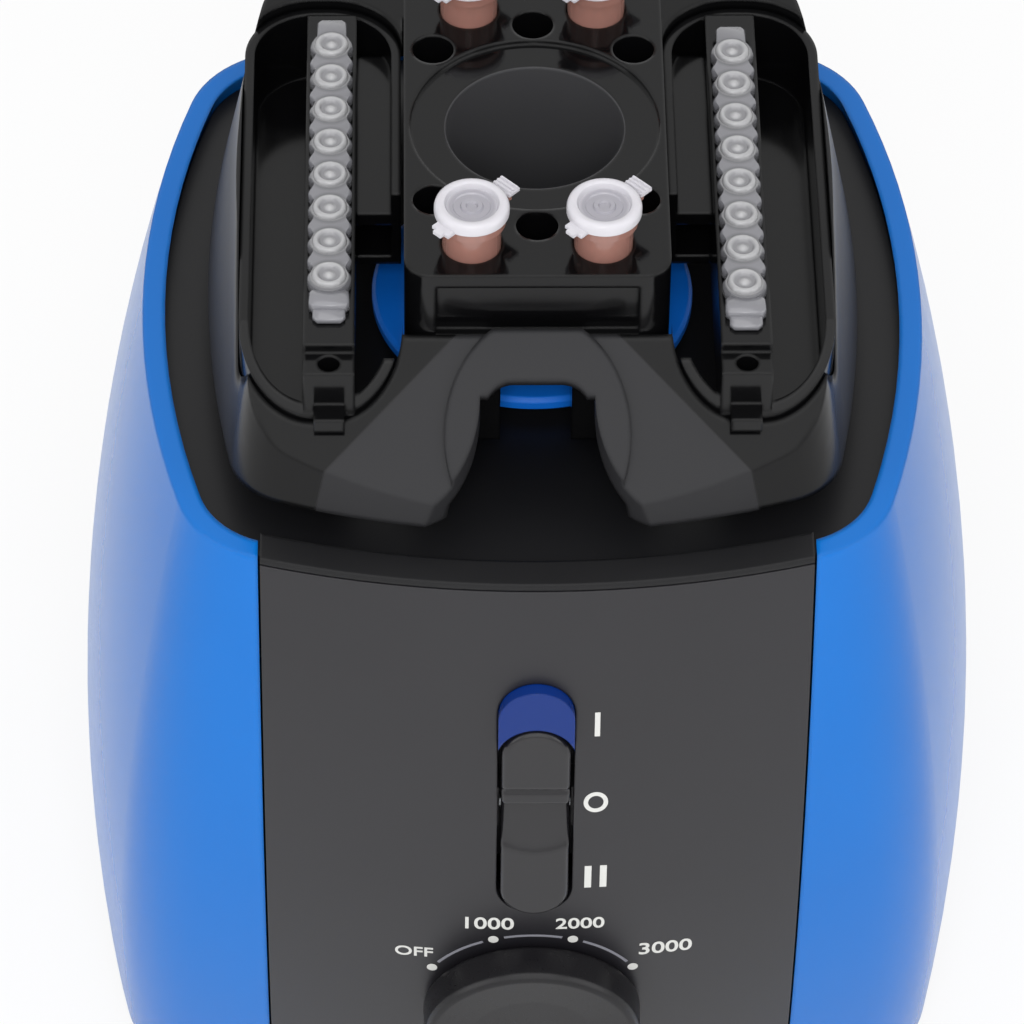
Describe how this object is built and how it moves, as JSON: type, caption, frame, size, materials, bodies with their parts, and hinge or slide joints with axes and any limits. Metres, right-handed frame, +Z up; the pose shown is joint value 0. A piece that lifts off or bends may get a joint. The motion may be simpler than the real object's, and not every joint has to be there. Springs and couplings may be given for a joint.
{
  "type": "vortex mixer",
  "caption": "Bench vortex mixer: barrel housing with rocker switch and speed knob, orbiting head, and a lift-off black holder for hinged-lid tubes and tube strips.",
  "frame": {"origin": "centre of the bounding box's base, on the bench under the feet", "axes": "+Z up along the motor axis, -Y towards the control panel, +X to the right of someone facing it"},
  "size_m": [0.177, 0.1804, 0.2144],
  "materials": {
    "blue_shell": "glossy baked enamel",
    "black_satin": "satin",
    "black_gloss": "glossy",
    "blue_platform": "satin",
    "pilot_blue": "translucent",
    "clear_plastic": "translucent",
    "tube_contents": "clear liquid",
    "rubber": "matt",
    "steel": "machined",
    "cast_aluminium": "die cast",
    "cast_iron": "painted",
    "ferrite": "sintered",
    "contact_brass": "plated",
    "board_green": "lacquered",
    "board_parts": "anodised"
  },
  "bodies": {
    "root": {"housing": "blue_shell", "base_plate": "black_satin", "rubber_feet": "rubber", "foot_screws": "steel", "housing_screws": "steel", "top_deck": "black_satin", "front_panel": "black_satin", "rocker_pin": "steel", "switch_body": "black_satin", "pilot_lens": "pilot_blue", "pilot_lamp": "pilot_blue", "speed_control": "black_satin", "control_nut": "steel", "power_inlet": "black_satin", "inlet_pins": "contact_brass", "ballast_plate": "cast_iron", "guide_posts": "steel", "rubber_mounts": "rubber", "guide_nuts": "steel", "circuit_board": "board_green", "board_brackets": "board_parts", "board_components": "board_parts", "touch_switch": "black_satin"},
    "carriage": {"motor_bracket": "steel", "motor_can": "steel", "motor_end_cap": "cast_aluminium", "lower_bearing": "steel", "upper_bearing": "steel", "field_ring": "ferrite"},
    "rotor": {"motor_shaft": "steel", "armature": "steel", "counterweight": "steel", "eccentric_hub": "steel"},
    "head": {"head_bearing": "steel", "head_platform": "blue_platform"},
    "holder": {"tube_block": "black_gloss", "holder_saddle": "black_gloss", "strip_tray_left": "black_gloss", "strip_tray_right": "black_gloss"},
    "strip_left": {"tube_strip_left": "clear_plastic"},
    "strip_right": {"tube_strip_right": "clear_plastic"},
    "rocker": {"rocker": "black_satin"},
    "knob": {"speed_knob": "black_satin", "control_shaft": "steel"},
    "tube_front_left": {"microtube_front_left": "clear_plastic", "tube_liquid_front_left": "tube_contents"},
    "lid_front_left": {"tube_lid_front_left": "clear_plastic"},
    "tube_rear_left": {"microtube_rear_left": "clear_plastic", "tube_liquid_rear_left": "tube_contents"},
    "lid_rear_left": {"tube_lid_rear_left": "clear_plastic"},
    "tube_front_right": {"microtube_front_right": "clear_plastic", "tube_liquid_front_right": "tube_contents"},
    "lid_front_right": {"tube_lid_front_right": "clear_plastic"},
    "tube_rear_right": {"microtube_rear_right": "clear_plastic", "tube_liquid_rear_right": "tube_contents"},
    "lid_rear_right": {"tube_lid_rear_right": "clear_plastic"}
  },
  "joints": [
    {"name": "touch_slide", "type": "slide", "parent": "root", "child": "carriage", "axis": [0, 0, 1], "range_m": [-0.0015, 0], "stiffness_N_per_m": 12000, "springref_m": 0.003, "deforming": ["rubber_mounts"]},
    {"name": "motor_spin", "type": "hinge", "parent": "carriage", "child": "rotor", "pos_m": [0, 0.00182, 0.1], "axis": [0, 0, 1], "continuous": true},
    {"name": "head_turn", "type": "hinge", "parent": "rotor", "child": "head", "pos_m": [0, 0.00382, 0.13], "axis": [0, 0, 1], "continuous": true},
    {"name": "holder_lift", "type": "slide", "parent": "head", "child": "holder", "axis": [0, 0, 1], "range_m": [0, 0.04]},
    {"name": "strip_left_lift", "type": "slide", "parent": "holder", "child": "strip_left", "axis": [0, 0, 1], "range_m": [0, 0.03]},
    {"name": "strip_right_lift", "type": "slide", "parent": "holder", "child": "strip_right", "axis": [0, 0, 1], "range_m": [0, 0.03]},
    {"name": "rocker_tip", "type": "hinge", "parent": "root", "child": "rocker", "pos_m": [0, -0.07458, 0.10375], "axis": [1, 0, 0], "range_deg": [-4.5, 4.5]},
    {"name": "knob_turn", "type": "hinge", "parent": "root", "child": "knob", "pos_m": [0, -0.08025, 0.0502], "axis": [0, 0.9951, 0.0994], "range_deg": [0, 119]},
    {"name": "tube_front_left_lift", "type": "slide", "parent": "holder", "child": "tube_front_left", "axis": [0, 0, 1], "range_m": [0, 0.045]},
    {"name": "lid_front_left_hinge", "type": "hinge", "parent": "tube_front_left", "child": "lid_front_left", "pos_m": [-0.00592, -0.0221, 0.2117], "axis": [-0.7071, 0.7071, 0], "range_deg": [0, 110]},
    {"name": "tube_rear_left_lift", "type": "slide", "parent": "holder", "child": "tube_rear_left", "axis": [0, 0, 1], "range_m": [0, 0.045]},
    {"name": "lid_rear_left_hinge", "type": "hinge", "parent": "tube_rear_left", "child": "lid_rear_left", "pos_m": [-0.00592, 0.0419, 0.2117], "axis": [-0.7071, 0.7071, 0], "range_deg": [0, 110]},
    {"name": "tube_front_right_lift", "type": "slide", "parent": "holder", "child": "tube_front_right", "axis": [0, 0, 1], "range_m": [0, 0.045]},
    {"name": "lid_front_right_hinge", "type": "hinge", "parent": "tube_front_right", "child": "lid_front_right", "pos_m": [0.01808, -0.0221, 0.2117], "axis": [-0.7071, 0.7071, 0], "range_deg": [0, 110]},
    {"name": "tube_rear_right_lift", "type": "slide", "parent": "holder", "child": "tube_rear_right", "axis": [0, 0, 1], "range_m": [0, 0.045]},
    {"name": "lid_rear_right_hinge", "type": "hinge", "parent": "tube_rear_right", "child": "lid_rear_right", "pos_m": [0.01808, 0.0419, 0.2117], "axis": [-0.7071, 0.7071, 0], "range_deg": [0, 110]}
  ],
  "couplings": [
    {"joint": "head_turn", "follows": "motor_spin", "ratio": -1}
  ]
}
